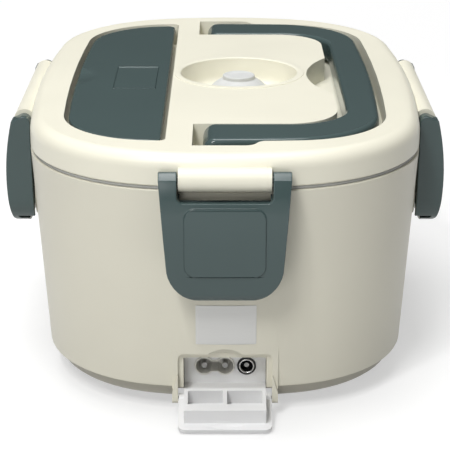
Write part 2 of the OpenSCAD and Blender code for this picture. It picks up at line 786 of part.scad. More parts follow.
module lid_shell() {
    rest = [16 - pocket_w, pocket_l - 23];
    color(cream) difference() {
        union() {
            difference() {
                lid_body();
                slab(z_floor, z_top + 1) sunk();
                lid_hollow();
            }
            for (side = SIDES) at_latch(side) rotate([0, 90, 0])
                cylinder(r = barrel_r, h = barrel_w(side), center = true, $fn = 48);
            for (y = [-1, 1]) translate([rest[0], y * rest[1], z_floor - 0.5])
                cylinder(r = 2, h = cover_top - cover_t - z_floor + 0.5, $fn = 32);
            translate([bowl[0], bowl[1], z_lid]) rotate_extrude() polygon([
                [bowl_r - 1, 0], [bowl_r + 3.2, 0], [bowl_r + 3.2, lid_h + 0.25],
                [bowl_r + 1.8, lid_h + 0.5],
                [bowl_r + 0.7, lid_h + 0.45], [bowl_r, lid_h], [bowl_r - 1, lid_h - 1]]);
        }
        translate([bowl[0], bowl[1], z_floor]) rotate_extrude()
            polygon(concat([[0, 0]], arc([bowl_r - 5, 4], 4, -90, 0, 5),
                           [[bowl_r, recess_d - 1], [bowl_r, recess_d + 2], [0, recess_d + 2]]));
        translate([bowl[0], bowl[1], z_lid - 1]) cylinder(r = stem_hole, h = lid_h);
        for (side = SIDES) at_latch(side) {
            for (x = [-1, 1]) translate([x * (barrel_w(side) / 2 + (slot_gap + ear_w + 0.8) / 2), 0, 0])
                rotate([0, 90, 0])
                    cylinder(r = latch_head + head_clear, h = slot_gap + ear_w + 0.8, center = true);
            rotate([0, 90, 0])
                cylinder(r = latch_pin_r + press, h = barrel_w(side) + 2, center = true, $fn = 32);
        }
        for (y = [-1, 1]) translate([pivot_x, y * (pin_y0 + pin_y1) / 2, pivot_z]) rotate([90, 0, 0])
            cylinder(r = handle_pin_r + press, h = pin_y1 - pin_y0 + 0.4, center = true, $fn = 32);
        for (y = [-1, 1]) translate([hinge_x, y * (cover_pin_y + 6.5), hinge_z]) rotate([90, 0, 0])
            cylinder(r = cover_pin_r + press, h = 12.4, center = true, $fn = 24);
    }
}

module lid_gasket() {
    color(rubber) slab(z_rim, z_lid) difference() {
        polygon(plan(0.7));
        polygon(plan(5));
    }
}

module lid_liner() {
    color(pale) difference() {
        union() {
            slab(z_rim, z_lid) polygon(plan(5.2));
            stack([[12.2, z_rim - 3.5], [11.5, z_rim - 2.8], [11.5, z_rim + 0.5]]);
        }
        slab(z_rim - 4, z_rim - 1.5) polygon(plan(14));
        translate([bowl[0], bowl[1], z_rim - 3]) cylinder(r = stem_hole, h = 6);
    }
}

module vent_valve() {
    top = lid_h - 1;
    ring = 7.5;
    low = lid_h - recess_d;
    // The dome's ball, through its foot at the floor and the foot of the ring on top
    zc = (pow(dome_r, 2) + pow(low + 0.8, 2) - pow(ring, 2) - pow(top - 1.8, 2)) / (2 * (low + 2.6 - top));
    r = sqrt(pow(dome_r, 2) + pow(low + 0.8 - zc, 2));
    color("#cfd2cd") translate([bowl[0], bowl[1], z_lid]) rotate_extrude() polygon(concat(
        [[0, -7.5], [5.5, -7.5], [5.5, -6.3], [stem_r, -6.3], [stem_r, low], [dome_r - 0.4, low]],
        arc([0, zc], r, asin((low + 0.8 - zc) / r), asin((top - 1.8 - zc) / r), 7),
        [[ring, top - 0.6], [ring - 0.3, top - 0.1], [ring - 0.7, top]],
        [[6.2, top], [5.9, top - 0.5], [0, top - 0.5]]));
}

// ---- Cutlery compartment cover ----
module compartment_cover() {
    i = cover_gap;
    e = tray_edge + cover_gap;
    dip = 105;
    color(slate) difference() {
        union() {
            skin([at_z(cut_pocket(i + 0.3, e + 0.3), cover_top - cover_t),
                  at_z(cut_pocket(i, e), cover_top - cover_t + 0.3),
                  at_z(cut_pocket(i, e), cover_top - 0.7),
                  at_z(cut_pocket(i + 0.2, e + 0.2), cover_top - 0.2),
                  at_z(cut_pocket(i + 0.7, e + 0.7), cover_top)]);
            for (y = [-1, 1]) translate([hinge_x, y * (cover_pin_y - 1), hinge_z]) rotate([90, 0, 0])
                cylinder(r = hinge_r, h = 14, center = true, $fn = 32);
        }
        translate([-5.1 - pocket_w, 0, cover_top + dip - 1.5]) sphere(dip, $fn = 180);
        translate([hinge_x - 22.4, -23, cover_top - 0.3]) cube([19, 40, 1]);
        for (y = [-1, 1]) translate([hinge_x, y * (cover_pin_y + 2), hinge_z]) rotate([90, 0, 0])
            cylinder(r = cover_pin_r + run, h = 13, center = true, $fn = 24);
    }
}

cover_pin_y = pocket_l - 10.5;
module cover_pins() {
    color(steel) for (y = [-1, 1]) translate([hinge_x, y * (cover_pin_y + 5), hinge_z])
        rotate([90, 0, 0]) cylinder(r = cover_pin_r, h = 15, center = true, $fn = 24);
}

// ---- Handle ----
pin_y0 = island_y - 4;
pin_y1 = notch_y + 3;

// Outer and inner edges of the handle from its front end round to its rear end, set in by i
function half_loop(q) = concat(rev(flip(q, 1, -1)), tail(q));
function with_ends(list) = concat(
    [[pivot_x, list[0][1]]], list, [[pivot_x, list[len(list) - 1][1]]]);
function outer_edge(i) = with_ends(half_loop(
    [for (p = pocket_quarter(arm_gap + i)) [p[0] + arm_gap - handle_gap, p[1]]]));
function inner_quarter(i) = let (x = pocket_w - handle_gap - grip_w, y = island_y + arm_gap, r = 24) concat(
    [for (k = [0:side_n - 1]) [x + i, (y - r) * k / side_n]],
    arc([x - r, y - r], r + i, 0, 90, corner_n),
    [for (k = [1:end_n]) [(x - r) * (1 - k / end_n), y + i]]);
function handle_loop(i) = concat(outer_edge(i), rev(with_ends(half_loop(inner_quarter(i)))));

// A skin whose ends are closed by strips across from edge to edge
module strap_skin(sections) {
    n = len(sections[0]);
    m = len(sections);
    last = (m - 1) * n;
    half = n / 2;
    polyhedron(
        points = [for (s = sections, p = s) p],
        faces = concat(
            [for (k = [0:half - 2]) [k, k + 1, n - 2 - k]],
            [for (k = [0:half - 2]) [k, n - 2 - k, n - 1 - k]],
            [for (j = [0:m - 2], k = [0:n - 1]) let (a = j * n + k, b = j * n + (k + 1) % n)
                [a, a + n, b + n]],
            [for (j = [0:m - 2], k = [0:n - 1]) let (a = j * n + k, b = j * n + (k + 1) % n)
                [a, b + n, b]],
            [for (k = [0:half - 2]) [last + n - 2 - k, last + k + 1, last + k]],
            [for (k = [0:half - 2]) [last + n - 1 - k, last + n - 2 - k, last + k]]),
        convexity = 6);
}

module handle() {
    z0 = pivot_z - handle_t / 2;
    z1 = z0 + handle_t;
    r = 2.2;
    arm_out = pocket_l - arm_gap;
    arm_w = arm_out - island_y - arm_gap;
    end = handle_t / 2;
    color(slate) difference() {
        union() {
            strap_skin(concat(
                [at_z(handle_loop(1), z0), at_z(handle_loop(0.3), z0 + 0.3), at_z(handle_loop(0), z0 + 1)],
                [for (k = [0:4]) let (a = 90 * k / 4)
                    at_z(handle_loop(r * (1 - cos(a))), z1 - r * (1 - sin(a)))]));
            for (y = [-1, 1]) translate([pivot_x, y * (arm_out - arm_w / 2), pivot_z])
                rotate([90, 0, 0]) rotate_extrude() polygon(concat([[0, -arm_w / 2]],
                    arc([end - r, r - arm_w / 2], r, -90, 0, 4), arc([end - r, arm_w / 2 - r], r, 0, 90, 4),
                    [[0, arm_w / 2]]));
        }
        for (y = [-1, 1]) translate([pivot_x, y * (arm_out - arm_w / 2), pivot_z])
            rotate([90, 0, 0]) cylinder(r = handle_pin_r + run, h = arm_w + 4, center = true, $fn = 32);
    }
}

module handle_pins() {
    color(steel) for (y = [-1, 1]) translate([pivot_x, y * (pin_y0 + pin_y1) / 2, pivot_z])
        rotate([90, 0, 0]) cylinder(r = handle_pin_r, h = pin_y1 - pin_y0, center = true, $fn = 32);
}

// ---- Latches ----
bulge_r = 117;
bulge_x = 8.6 - bulge_r;
bulge_z = -0.55 * latch_drop;
toe_r = 5;
toe_z = toe_r - latch_drop;
toe_x = bulge_x + sqrt(pow(bulge_r - toe_r, 2) - pow(toe_z - bulge_z, 2));
toe_a = asin((toe_z - bulge_z) / (bulge_r - toe_r));
bulge_a = asin((1 - bulge_z) / bulge_r);

// The latch's outer edge seen along its hinge, let out by d, from the head to the toe
function latch_edge(d) = concat(
    arc([bulge_x, bulge_z], bulge_r + d, bulge_a, toe_a, 12),
    arc([toe_x, toe_z], toe_r + d, toe_a, -90, 7, 1));

// A shape drawn as [outwards, up], extruded hw to each side along the hinge
module along_hinge(hw) {
    rotate([90, 0, -90]) linear_extrude(2 * hw, center = true) children();
}

module latch_profile(side) {
    in = cheek_in(side);
    polygon(concat(
        arc([0, 0], latch_head, 180, 68, 8), [[3.6, 1.65], [4.75, 1.35]],
        latch_edge(0),
        [[in + 1.2, -latch_drop], [in, 1.2 - latch_drop], [in, -latch_head - 1], [-latch_head, -1.6]]));
}

module latch(side) {
    hw = latch_hw(side);
    b = barrel_w(side) / 2;
    slot = 7.7;
    panel = b - 2.2;
    color(slate) at_latch(side) difference() {
        union() {
            difference() {
                intersection() {
                    along_hinge(hw) latch_profile(side);
                    rotate([90, 0, 0]) linear_extrude(60, center = true) latch_face(side);
                }
                rotate([90, 0, 0]) linear_extrude(60, center = true) polygon(concat(
                    arc([2.5 - b - slot_gap, 2.5 - slot], 2.5, 180, 270, 4),
                    arc([b + slot_gap - 2.5, 2.5 - slot], 2.5, 270, 360, 4),
                    [[b + slot_gap, 20], [-b - slot_gap, 20]]));
                intersection() {
                    along_hinge(b) polygon(concat([[-20, 2 - slot]], [for (p = latch_edge(-latch_t)) p],
                                                  [[-20, latch_t - latch_drop]]));
                    translate([-b, -30, latch_t + 0.4 - latch_drop])
                        cube([2 * b, 60, latch_drop - latch_t - slot + 0.6]);
                }
                along_hinge(b) translate([-20, -latch_drop - 1])
                    square([20 - catch_gap / 2, latch_drop + 1 - slot]);
            }
            intersection() {
                along_hinge(panel) polygon(concat(latch_edge(0.5), rev(latch_edge(-1))));
                rotate([90, 0, 0]) linear_extrude(40) polygon(concat(
                    arc([panel - 4.5, 4.5 - 37.6], 4.5, -90, 0, 6), arc([panel - 4.5, -14], 4.5, 0, 90, 6),
                    arc([4.5 - panel, -14], 4.5, 90, 180, 6),
                    arc([4.5 - panel, 4.5 - 37.6], 4.5, 180, 270, 6)));
            }
            along_hinge(b + 0.2) translate([-catch_gap, -catch_bottom - catch_clear - 2.8])
                square([7.6, 2.8]);
        }
        rotate([0, 90, 0])
            cylinder(r = latch_pin_r + run, h = 2 * (b + slot_gap + 6), center = true, $fn = 32);
    }
}

module front_latch() { latch("front"); }
module rear_latch() { latch("rear"); }
module left_latch() { latch("left"); }
module right_latch() { latch("right"); }

module latch_pins() {
    color(steel) for (side = SIDES) at_latch(side) rotate([0, 90, 0])
        cylinder(r = latch_pin_r, h = barrel_w(side) + 2 * (slot_gap + 5.8), center = true, $fn = 32);
}

// ---- Cutlery ----
// Length of a piece, and how far the spoon and the fork lie from the compartment's walls
cutlery_l = 2 * pocket_l - 64;
spoon_x = -tray_edge - 18.7;
fork_x = 11 - pocket_w;

// One cross-section: half width w, dished by d, thickness t, lifted by z, at y along the piece
function cut_section(w, d, t, z, y, n = 6) = concat(
    [for (k = [-n:n]) let (u = k / n) [w * u, y, z + d * u * u + t]],
    [for (k = [n:-1:-n]) let (u = k / n) [w * u * 0.999, y, z + d * u * u]]);
function smooth(a, b, x) = let (t = max(0, min(1, (x - a) / (b - a)))) t * t * (3 - 2 * t);
// Half width along t (0 at the grip's end, 1 at the tip)
function grip_w_at(t) = 2.8 + 2.6 * (1 - smooth(0, 0.45, t)) - 2.4 * pow(1 - smooth(0, 0.05, t), 2);
function spoon_w(t) = let (u = (t - 0.85) / 0.15)
    max(grip_w_at(t) * (1 - smooth(0.7, 0.78, t)), t > 0.7 ? 11 * sqrt(max(0.02, 1 - u * u)) : 0);
function fork_w(t) = grip_w_at(t) + 6.2 * smooth(0.62, 0.8, t) - 1.5 * smooth(0.9, 1, t);

module spoon() {
    n = 44;
    color("#c4c7c9") translate([spoon_x, 0, z_floor]) rotate([0, 0, 0.5]) skin([for (k = [0:n])
        let (t = k / n, b = smooth(0.68, 0.85, t) * (1 - smooth(0.93, 1, t)))
        cut_section(spoon_w(t), 3.6 * b + 0.3, 1.1, 1.8 * (1 - b) * smooth(0.3, 0.7, t) + 0.02,
                    cutlery_l * (t - 0.5))]);
}

function fork_z(t) = 0.02 + 1.8 * smooth(0.3, 0.66, t) - 1.7 * smooth(0.7, 0.92, t);

// The fork: its side view and its plan, each drawn right through and kept where they cross
module fork() {
    n = 28;
    t = 1.3;
    slot = 2;
    color("#c4c7c9") translate([fork_x, 0, z_floor]) rotate([0, 0, 181.5]) intersection() {
        rotate([90, 0, 90]) linear_extrude(30, center = true) polygon(concat(
            [for (k = [0:n]) [cutlery_l * (k / n - 0.5), fork_z(k / n)]],
            [for (k = [n:-1:0]) [cutlery_l * (k / n - 0.5), fork_z(k / n) + t]]));
        translate([0, 0, -1]) linear_extrude(12) difference() {
            polygon(concat([for (k = [0:n]) [fork_w(k / n), cutlery_l * (k / n - 0.5)]],
                           [for (k = [n:-1:0]) [-fork_w(k / n), cutlery_l * (k / n - 0.5)]]));
            for (x = [-1, 0, 1]) translate([x * 4.7, cutlery_l * 0.25]) {
                circle(slot / 2, $fn = 24);
                translate([-slot / 2, 0]) square([slot, cutlery_l]);
            }
        }
    }
}

outer_shell();
base_plate();
feet();
base_screws();
heating_basin();
heater_block();
heater_clamp();
clamp_nuts();
thermostat();
thermal_fuse();
power_board();
board_parts();
socket_panel();
ac_inlet();
ac_pins();
dc_jack();
jack_contact();
port_flap();
flap_pin();
main_container();
side_container();
side_container_lid();
lid_shell();
lid_liner();
lid_gasket();
vent_valve();
compartment_cover();
cover_pins();
handle();
handle_pins();
front_latch();
rear_latch();
left_latch();
right_latch();
latch_pins();
spoon();
fork();
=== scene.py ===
"""Electric lunch box: finishes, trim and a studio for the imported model.

Lengths are in metres in the model's own frame: +Z up, the socket end faces -Y.
"""

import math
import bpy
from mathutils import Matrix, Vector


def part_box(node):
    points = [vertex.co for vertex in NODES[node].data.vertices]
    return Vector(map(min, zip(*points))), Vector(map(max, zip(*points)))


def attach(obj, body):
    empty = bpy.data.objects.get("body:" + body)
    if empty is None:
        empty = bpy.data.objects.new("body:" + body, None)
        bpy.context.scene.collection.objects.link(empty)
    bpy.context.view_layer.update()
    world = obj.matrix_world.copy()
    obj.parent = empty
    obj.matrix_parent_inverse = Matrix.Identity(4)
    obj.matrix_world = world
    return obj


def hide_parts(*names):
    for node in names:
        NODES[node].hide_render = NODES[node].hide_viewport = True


bl_info = {
    "name": "Electric Lunch Box",
    "version": (1, 0, 0),
    "blender": (4, 5, 0),
    "location": "3D View > Sidebar > Lunch Box",
    "description": "Finishes, trim and a studio for an electric lunch box",
    "category": "Object",
}

import bpy
import numpy as np

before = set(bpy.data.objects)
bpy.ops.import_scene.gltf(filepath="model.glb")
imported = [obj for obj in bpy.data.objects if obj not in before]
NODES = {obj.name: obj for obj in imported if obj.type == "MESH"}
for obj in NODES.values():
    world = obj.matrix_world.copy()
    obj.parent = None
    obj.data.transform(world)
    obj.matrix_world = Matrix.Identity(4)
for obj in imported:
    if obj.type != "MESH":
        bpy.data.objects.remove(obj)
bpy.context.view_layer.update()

MM = 0.001

# The case's plan: three arcs to a quarter, for the side, the corner and the end. Its
# size comes from the seal, whose edge is SEAL_IN inside it
SEAL_IN = 0.7 * MM
CORNER = 64.5 * MM
SIDE_BOW = 3.0 * MM
END_BOW = 2.0 * MM
RIM_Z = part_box("lid_gasket")[0][2]
HALF_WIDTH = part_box("lid_gasket")[1][0] + SEAL_IN
HALF_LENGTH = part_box("lid_gasket")[1][1] + SEAL_IN
CORNER_X = HALF_WIDTH - CORNER - SIDE_BOW
CORNER_Y = HALF_LENGTH - CORNER - END_BOW
SIDE_RADIUS = CORNER + SIDE_BOW / 2 + CORNER_Y**2 / (2 * SIDE_BOW)
END_RADIUS = CORNER + END_BOW / 2 + CORNER_X**2 / (2 * END_BOW)
SIDE_TURN = math.degrees(math.asin(CORNER_Y / (SIDE_RADIUS - CORNER)))
END_TURN = math.degrees(math.asin(CORNER_X / (END_RADIUS - CORNER)))
WALL_LEAN = math.tan(math.radians(3.7))

FLOOR_COLOUR = 0.55
FLOOR_GLOW = 0.5
FLOOR_REACH = 30.0

# Radii between which the floor's glow rises to white
GLOW_RISE = (0.5, 2.5)

# Brightness of the sky at the horizon and overhead, and the heights between which it rises
SKY = (0.06, 0.35)
SKY_RISE = (0.2, 0.9)

# Each lamp's name, place, diameter and power
LAMPS = (
    ("key", (-0.45, -1.1, 1.3), 0.5, 10.5),
    ("spark", (-0.4, -0.75, 1.5), 0.12, 4.2),
    ("top", (-0.1, 0.15, 1.5), 0.8, 12.0),
    ("low", (-0.3, -1.3, 0.35), 0.5, 2.3),
)

# The point that every lamp faces
LAMP_AIM = (0.0, 0.0, 0.05)

CAMERA_PLACE = (0.0, -0.7197, 0.29785)
CAMERA_PITCH = math.radians(90.0 - 19.71)
CAMERA_LENS = 127.84
SENSOR_WIDTH = 36.0

# How softened pieces are cleaned and rounded
JOIN_DISTANCE = 0.01 * MM
FLAT_ANGLE = math.radians(0.6)
EDGE_STEPS = 3
SHARP_ANGLE = 40.0
SHADE_WEIGHT = 80

# The label's corner radius, and how far right of the middle it sits
LABEL_CORNER = 0.5 * MM
LABEL_RIGHT = 0.4 * MM

# How far inside the plan the seal's flat part ends, and the points round its bead
SEAL_INNER = 5.0 * MM
BEAD_STEPS = 13


# ---------------------------------------------------------------- shader maths


class Sock:
    """A node's output that arithmetic works on: each operation adds a Math node."""

    def __init__(self, tree, link):
        self.tree = tree
        self.link = link

    def _math(self, operation, first, second):
        """Adds a Math node on two values, each an output or a plain number."""
        node = self.tree.nodes.new("ShaderNodeMath")
        node.operation = operation
        feed(self.tree, node.inputs[0], first)
        feed(self.tree, node.inputs[1], second)
        return Sock(self.tree, node.outputs[0])

    def __add__(self, other):
        return self._math("ADD", self, other)

    __radd__ = __add__

    def __sub__(self, other):
        return self._math("SUBTRACT", self, other)

    def __rsub__(self, other):
        return self._math("SUBTRACT", other, self)

    def __mul__(self, other):
        return self._math("MULTIPLY", self, other)

    __rmul__ = __mul__

    def clamp(self):
        """This value held between 0 and 1."""
        return self._math("MINIMUM", self._math("MAXIMUM", self, 0.0), 1.0)

    def step(self, low, high):
        """0 below low, 1 above high, and straight between them."""
        return ((self - low) * (1.0 / (high - low))).clamp()


def feed(tree, socket, value):
    """Links a node's input to an output, or sets it to a plain value."""
    if isinstance(value, Sock):
        tree.links.new(value.link, socket)
    else:
        socket.default_value = value


class Nodes:
    """A node tree under construction, whose nodes are added by type."""

    def __init__(self, tree):
        self.tree = tree

    def node(self, kind, settings=None, inputs=None, out=0):
        """Adds a node: its settings first, then the values or links of its sockets."""
        node = self.tree.nodes.new(kind)
        for key, value in (settings or {}).items():
            setattr(node, key, value)
        for key, value in (inputs or {}).items():
            feed(self.tree, node.inputs[key], value)
        return Sock(self.tree, node.outputs[out])

    def mix(self, factor, one, two):
        """Colour one where factor is 0 and colour two where it is 1.

        Sockets 0, 6 and 7 are the node's factor and its two colours, and output 2 its colour."""
        colours = {0: factor, 6: one, 7: two}
        return self.node("ShaderNodeMix", {"data_type": "RGBA"}, colours, out=2)


class Finish(Nodes):
    """A material under construction: one shader and what feeds it."""

    def __init__(self, name):
        self.material = bpy.data.materials.new(name)
        self.material.use_nodes = True
        super().__init__(self.material.node_tree)
        self.tree.nodes.clear()
        self.out = self.tree.nodes.new("ShaderNodeOutputMaterial")
        self.shader = self.tree.nodes.new("ShaderNodeBsdfPrincipled")
        self.tree.links.new(self.shader.outputs[0], self.out.inputs["Surface"])
        self.place = self.node("ShaderNodeTexCoord", out="Object")

    def noise(self, scale, detail=2.0, rough=0.5, place=None):
        """Even noise about 0.5 on the piece's own coordinates."""
        return self.node(
            "ShaderNodeTexNoise",
            inputs={
                "Vector": place or self.place,
                "Scale": scale,
                "Detail": detail,
                "Roughness": rough,
            },
        )

    def put(self, name, value):
        """Sets or links one socket of the shader."""
        feed(self.tree, self.shader.inputs[name], value)

    def bump(self, height, strength, distance):
        """Feeds the shader's normal from a height, in metres when distance is 1."""
        normal = self.node(
            "ShaderNodeBump",
            inputs={"Height": height, "Strength": strength, "Distance": distance},
        )
        self.put("Normal", normal)


# ------------------------------------------------------------------- finishes


def moulded(name, colour, rough=0.35, grain=0.2, tint=0.03, gloss=0.5, scale=900.0):
    """Moulded plastic: a fine even grain, faint flow marks and a slightly uneven gloss."""
    finish = Finish(name)
    flow = finish.noise(14.0, detail=3.0)
    fine = finish.noise(scale, detail=2.0, rough=0.6)
    dark = [channel * (1.0 - tint) for channel in colour] + [1.0]
    light = [min(1.0, channel * (1.0 + tint)) for channel in colour] + [1.0]
    finish.put("Base Color", finish.mix(flow.step(0.3, 0.7), dark, light))
    finish.put("Roughness", rough + (flow - 0.5) * 0.08 + (fine - 0.5) * 0.06)
    finish.put("IOR", 1.5)
    finish.put("Specular IOR Level", gloss)
    finish.bump(fine, grain, 0.00006)
    return finish.material


def rubbery(name, colour, rough=0.62):
    """Soft rubber or silicone: matt, with a faint bloom and a fine skin."""
    finish = Finish(name)
    bloom = finish.noise(60.0, detail=4.0)
    skin = finish.noise(2200.0, detail=2.0)
    pale = [min(1.0, channel * 1.15 + 0.01) for channel in colour] + [1.0]
    finish.put("Base Color", finish.mix(bloom.step(0.35, 0.8), list(colour) + [1.0], pale))
    finish.put("Roughness", rough + (bloom - 0.5) * 0.15)
    finish.put("IOR", 1.45)
    finish.bump(skin, 0.25, 0.00005)
    return finish.material


def drawn_steel(name, colour, rough=0.26, stretch=(60.0, 3.0, 60.0)):
    """Deep-drawn stainless steel: fine lines along the draw and a soft sheen."""
    finish = Finish(name)
    lines = finish.noise(
        12.0,
        detail=4.0,
        rough=0.7,
        place=finish.node(
            "ShaderNodeMapping", inputs={"Vector": finish.place, "Scale": stretch}
        ),
    )
    cloud = finish.noise(25.0, detail=3.0)
    dark = [channel * 0.93 for channel in colour] + [1.0]
    finish.put("Base Color", finish.mix(lines, dark, list(colour) + [1.0]))
    finish.put("Metallic", 1.0)
    finish.put("Roughness", rough + (lines - 0.5) * 0.12 + (cloud - 0.5) * 0.06)
    finish.bump(lines, 0.15, 0.00004)
    return finish.material


def solder_mask(name, colour):
    """A circuit board: green lacquer with faint copper tracks under it."""
    finish = Finish(name)
    weave = finish.node(
        "ShaderNodeTexVoronoi",
        {"distance": "MANHATTAN"},
        {"Vector": finish.place, "Scale": 260.0},
    )
    track = weave.step(0.25, 0.3)
    light = [channel * 1.7 for channel in colour] + [1.0]
    finish.put("Base Color", finish.mix(track, light, list(colour) + [1.0]))
    finish.put("Roughness", 0.32 + track * 0.1)
    finish.bump(track, 0.2, 0.00004)
    return finish.material


def printed_foil(name, colour):
    """A blank foil label: brushed grain across it and a satin sheen."""
    finish = Finish(name)
    grain = finish.noise(
        20.0,
        detail=3.0,
        place=finish.node(
            "ShaderNodeMapping", inputs={"Vector": finish.place, "Scale": (2.0, 60.0, 60.0)}
        ),
    )
    dark = [channel * 0.95 for channel in colour] + [1.0]
    finish.put("Base Color", finish.mix(grain, dark, list(colour) + [1.0]))
    finish.put("Metallic", 0.25)
    finish.put("Roughness", 0.38 + (grain - 0.5) * 0.1)
    finish.bump(grain, 0.1, 0.00003)
    return finish.material


# ------------------------------------------------------------------- surfaces


def mesh_from(name, verts, faces):
    """Puts an array of points and an array of faces into a new smooth-shaded object."""
    mesh = bpy.data.meshes.new(name)
    verts = np.ascontiguousarray(verts, dtype=np.float32).reshape(-1, 3)
    mesh.vertices.add(len(verts))
    mesh.vertices.foreach_set("co", verts.ravel())
    sizes = np.array([len(face) for face in faces], dtype=np.int32)
    loops = np.concatenate([np.asarray(face, dtype=np.int32) for face in faces])
    mesh.loops.add(len(loops))
    mesh.loops.foreach_set("vertex_index", loops)
    mesh.polygons.add(len(sizes))
    mesh.polygons.foreach_set("loop_start", np.concatenate([[0], np.cumsum(sizes)[:-1]]))
    mesh.polygons.foreach_set("use_smooth", np.ones(len(sizes), dtype=bool))
    mesh.update(calc_edges=True)
    mesh.validate()
    piece = bpy.data.objects.new(name, mesh)
    bpy.context.scene.collection.objects.link(piece)
    return piece


def tube_faces(rows, columns, first=0, closed=False):
    """Quads of a grid whose columns run round a closed loop; closed also joins the rows."""
    row = np.arange(rows if closed else rows - 1)[:, None]
    column = np.arange(columns)[None, :]
    here = row * columns + column
    right = row * columns + (column + 1) % columns
    up = ((row + 1) % rows) * columns
    quads = np.stack([here, right, up + (column + 1) % columns, up + column], axis=-1)
    return (quads.reshape(-1, 4) + first).tolist()


def loft(name, grid):
    """A closed skin over rows of points: row k is a loop, and a cap closes each end.

    Each cap is a fan of triangles from the middle of its loop."""
    rows, columns, _ = grid.shape
    ends = np.stack([grid[0].mean(axis=0), grid[-1].mean(axis=0)])
    faces = tube_faces(rows, columns)
    around = np.arange(columns)
    after = (around + 1) % columns
    low, high = rows * columns, rows * columns + 1
    last = (rows - 1) * columns
    faces += np.stack([after, around, np.full(columns, low)], axis=1).tolist()
    faces += np.stack([around + last, after + last, np.full(columns, high)], axis=1).tolist()
    return mesh_from(name, np.concatenate([grid.reshape(-1, 3), ends]), faces)


def lathe(profile, centre, steps):
    """Rows of points turned about a line along Y, from each row's radius and height.

    A point is centre + (radius * cos a, -height, radius * sin a)."""
    turn = np.linspace(0.0, 2.0 * math.pi, steps, endpoint=False)
    radius, height = np.asarray(profile, dtype=float).T
    across = radius[:, None] * np.cos(turn)
    along = radius[:, None] * np.sin(turn)
    high = np.broadcast_to(height[:, None], across.shape)
    return np.stack([across, -high, along], axis=-1) + np.asarray(centre, dtype=float)


def round_corner(centre, radius, start, end, count=6):
    """Points on a circular arc, angles in degrees."""
    angle = np.radians(np.linspace(start, end, count))
    return np.stack(
        [centre[0] + radius * np.cos(angle), centre[1] + radius * np.sin(angle)], axis=1
    )


def plan_outline(inset):
    """The case's plan set in by inset, anticlockwise: each arc's radius less inset.

    The other quarters are the first one turned over in x, y and both."""
    side = round_corner((HALF_WIDTH - SIDE_RADIUS, 0), SIDE_RADIUS - inset, 0, SIDE_TURN, 12)
    corner = round_corner((CORNER_X, CORNER_Y), CORNER - inset, SIDE_TURN, 90 - END_TURN, 40)
    end = round_corner((0, HALF_LENGTH - END_RADIUS), END_RADIUS - inset, 90 - END_TURN, 90, 8)
    first = np.concatenate([side, corner[1:], end[1:]])
    rear = np.concatenate([first, first[-2:0:-1] * (-1, 1)])
    return np.concatenate([rear, rear * (-1, -1)])


def on_front_wall(x, z, out):
    """Points on the case's front wall at x and z, let out by out.

    The wall at height z is an arc of radius R - d about the point R behind the rim's
    front, where d = (rim height - z) * tan(lean) is how far it has leant in."""
    radius = END_RADIUS - (RIM_Z - z) * WALL_LEAN + out
    y = END_RADIUS - HALF_LENGTH - np.sqrt(radius**2 - x**2)
    return np.stack([x, y, z], axis=-1)


def rounded_rectangle(half_width, half_height, radius, steps=6, between=8):
    """Points round a rectangle whose corners are quarter circles, anticlockwise.

    The points between two corners lie on the straight line from one to the next."""
    corners = []
    for start, sx, sz in ((0, 1, 1), (90, -1, 1), (180, -1, -1), (270, 1, -1)):
        centre = (sx * (half_width - radius), sz * (half_height - radius))
        corners.append(round_corner(centre, radius, start, start + 90, steps))
    share = np.linspace(0.0, 1.0, between + 2)[1:-1, None]
    loop = []
    for corner, following in zip(corners, corners[1:] + corners[:1]):
        loop += [corner, corner[-1] + (following[0] - corner[-1]) * share]
    return np.concatenate(loop)


# ------------------------------------------------------------------- settings


def colour_property(name, description, default):
    return bpy.props.FloatVectorProperty(
        name=name,
        description=description,
        subtype="COLOR",
        size=3,
        min=0.0,
        max=1.0,
        default=default,
    )


def length_property(name, description, default):
    return bpy.props.FloatProperty(
        name=name, description=description, subtype="DISTANCE", unit="LENGTH", default=default
    )


class LunchboxColours(bpy.types.PropertyGroup):
    """Colours of the moulded pieces"""

    lid: colour_property("Lid", "Cream plastic of the lid", (0.86, 0.835, 0.70))
    case: colour_property("Case", "Cream plastic of the case", (0.74, 0.715, 0.60))
    base: colour_property("Base", "Plastic of the base plate", (0.50, 0.48, 0.41))
    slate: colour_property("Slate", "Latches, handle and cover", (0.059, 0.092, 0.091))
    port: colour_property("Port", "Plastic of the port flap and socket panel", (0.88, 0.88, 0.88))
    label: colour_property("Label", "Foil of the blank label", (0.66, 0.66, 0.64))


class LunchboxSizes(bpy.types.PropertyGroup):
    """Sizes of the trim"""

    label_width: length_property("Label width", "Width of the blank label", 24.7 * MM)
    label_height: length_property("Label height", "Height of the blank label", 17.6 * MM)
    label_middle: length_property("Label middle", "Height of the label's middle", 41.4 * MM)


# --------------------------------------------------------------------- pieces


def soften(node, width, angle=32.0, clamp=True):
    """Joins a node's loose triangles, rounds its sharp edges and shades it smooth."""
    piece = NODES[node]
    mesh = piece.data
    mesh.polygons.foreach_set("use_smooth", np.ones(len(mesh.polygons), dtype=bool))
    weld = piece.modifiers.new("Join", "WELD")
    weld.merge_threshold = JOIN_DISTANCE
    flat = piece.modifiers.new("Flatten", "DECIMATE")
    flat.decimate_type = "DISSOLVE"
    flat.angle_limit = FLAT_ANGLE
    edge = piece.modifiers.new("Edges", "BEVEL")
    edge.width = width
    edge.segments = EDGE_STEPS
    edge.limit_method = "ANGLE"
    edge.angle_limit = math.radians(angle)
    edge.use_clamp_overlap = clamp
    even = piece.modifiers.new("Shade", "WEIGHTED_NORMAL")
    even.weight = SHADE_WEIGHT
    even.keep_sharp = True


def dress(material, *nodes):
    """Gives CAD nodes a finish."""
    for node in nodes:
        slots = NODES[node].data.materials
        slots.clear()
        slots.append(material)


